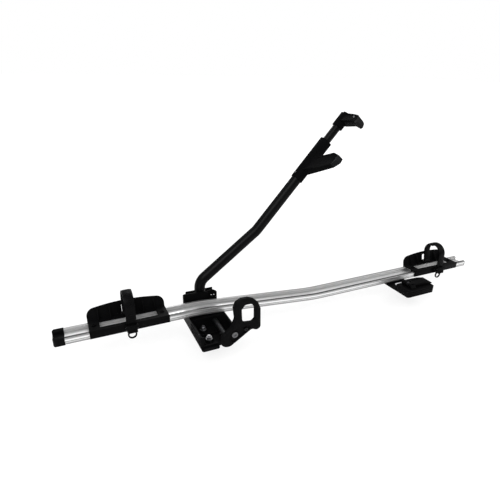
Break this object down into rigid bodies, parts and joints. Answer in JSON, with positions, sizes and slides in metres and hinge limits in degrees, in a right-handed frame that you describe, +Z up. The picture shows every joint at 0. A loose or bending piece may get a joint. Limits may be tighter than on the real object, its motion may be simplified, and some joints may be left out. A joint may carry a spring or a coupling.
{
  "type": "roof mounted bike carrier",
  "caption": "Roof mounted bike carrier: aluminium wheel tray on two feet, strap wheel holders, folding arm with clamping jaws, lever handle.",
  "frame": {"origin": "centre of the front crossbar seat, on top of the crossbar, under the middle of the tray", "axes": "+X along the tray towards the rear foot, +Y across towards the arm's side, +Z up"},
  "size_m": [1.45, 0.2185, 0.6057],
  "materials": {
    "tray_aluminium": "satin",
    "tube_black": "satin",
    "black_plastic": "matte",
    "grey_plastic": "matte",
    "strap_plastic": "satin",
    "grip_rubber": "matte",
    "seat_rubber": "matte",
    "cast_black": "satin",
    "plated_steel": "satin",
    "shaft_steel": "satin",
    "bush_plastic": "satin"
  },
  "bodies": {
    "carrier": {"near_rail": "tray_aluminium", "far_rail": "tray_aluminium", "tray_web": "tray_aluminium", "front_end_cap": "black_plastic", "rear_end_plug": "black_plastic", "base_housing": "black_plastic", "front_seat_pad": "seat_rubber", "tray_saddle": "black_plastic", "hinge_block": "cast_black", "shaft_bushes": "bush_plastic", "front_tray_bolts": "plated_steel", "front_tray_nuts": "plated_steel", "front_t_bolts": "plated_steel", "front_bolt_washers": "plated_steel", "front_bolt_nuts": "plated_steel"},
    "arm": {"pivot_shaft": "shaft_steel", "arm_foot": "cast_black", "arm_tube": "tube_black", "lower_jaw": "grey_plastic", "lower_jaw_pad": "grip_rubber", "handle": "black_plastic", "crank_plate": "cast_black", "handle_bolt": "plated_steel", "handle_pin": "plated_steel"},
    "upper_jaw": {"inner_tube": "tube_black", "guide_ring": "bush_plastic", "upper_jaw": "grey_plastic", "upper_jaw_pad": "grip_rubber"},
    "lock": {"lock_barrel": "plated_steel"},
    "rear_foot": {"rear_bracket": "cast_black", "rear_seat_pad": "seat_rubber", "rear_tray_bolts": "plated_steel", "rear_tray_nuts": "plated_steel", "rear_eye_bolt": "plated_steel", "rear_channel_nut": "plated_steel", "rear_clamp_body": "black_plastic", "tie_rod": "plated_steel", "cam_pin": "plated_steel"},
    "cam_lever": {"cam_lever": "black_plastic"},
    "front_holder": {"front_holder": "black_plastic", "front_strap": "strap_plastic", "front_strap_pin": "plated_steel", "front_pawl_pin": "plated_steel", "front_holder_screws": "plated_steel"},
    "front_pawl": {"front_pawl": "black_plastic"},
    "rear_holder": {"rear_holder": "black_plastic", "rear_strap": "strap_plastic", "rear_strap_pin": "plated_steel", "rear_pawl_pin": "plated_steel", "rear_holder_screws": "plated_steel"},
    "rear_pawl": {"rear_pawl": "black_plastic"}
  },
  "joints": [
    {"name": "arm_fold", "type": "hinge", "parent": "carrier", "child": "arm", "pos_m": [0.04, 0.054, 0.026], "axis": [0, 1, 0], "range_deg": [-20, 44]},
    {"name": "upper_jaw_slide", "type": "slide", "parent": "arm", "child": "upper_jaw", "axis": [0.6613, 0, 0.7501], "range_m": [-0.05, 0.025]},
    {"name": "lock_turn", "type": "hinge", "parent": "carrier", "child": "lock", "pos_m": [0.056, 0.034, 0.076], "axis": [0, -1, 0], "range_deg": [0, 90]},
    {"name": "rear_foot_slide", "type": "slide", "parent": "carrier", "child": "rear_foot", "axis": [1, 0, 0], "range_m": [-0.06, 0.025]},
    {"name": "cam_lever_turn", "type": "hinge", "parent": "rear_foot", "child": "cam_lever", "pos_m": [0.718, -0.091, 0.036], "axis": [0, -1, 0], "range_deg": [0, 100]},
    {"name": "front_holder_slide", "type": "slide", "parent": "carrier", "child": "front_holder", "axis": [1, 0, 0], "range_m": [-0.045, 0.03]},
    {"name": "rear_holder_slide", "type": "slide", "parent": "carrier", "child": "rear_holder", "axis": [1, 0, 0], "range_m": [-0.06, 0.02]},
    {"name": "front_pawl_turn", "type": "hinge", "parent": "front_holder", "child": "front_pawl", "pos_m": [-0.193, -0.0476, 0.074], "axis": [-1, 0, 0], "range_deg": [0, 25]},
    {"name": "rear_pawl_turn", "type": "hinge", "parent": "rear_holder", "child": "rear_pawl", "pos_m": [0.914, -0.0476, 0.038], "axis": [-1, 0, 0], "range_deg": [0, 25]}
  ]
}
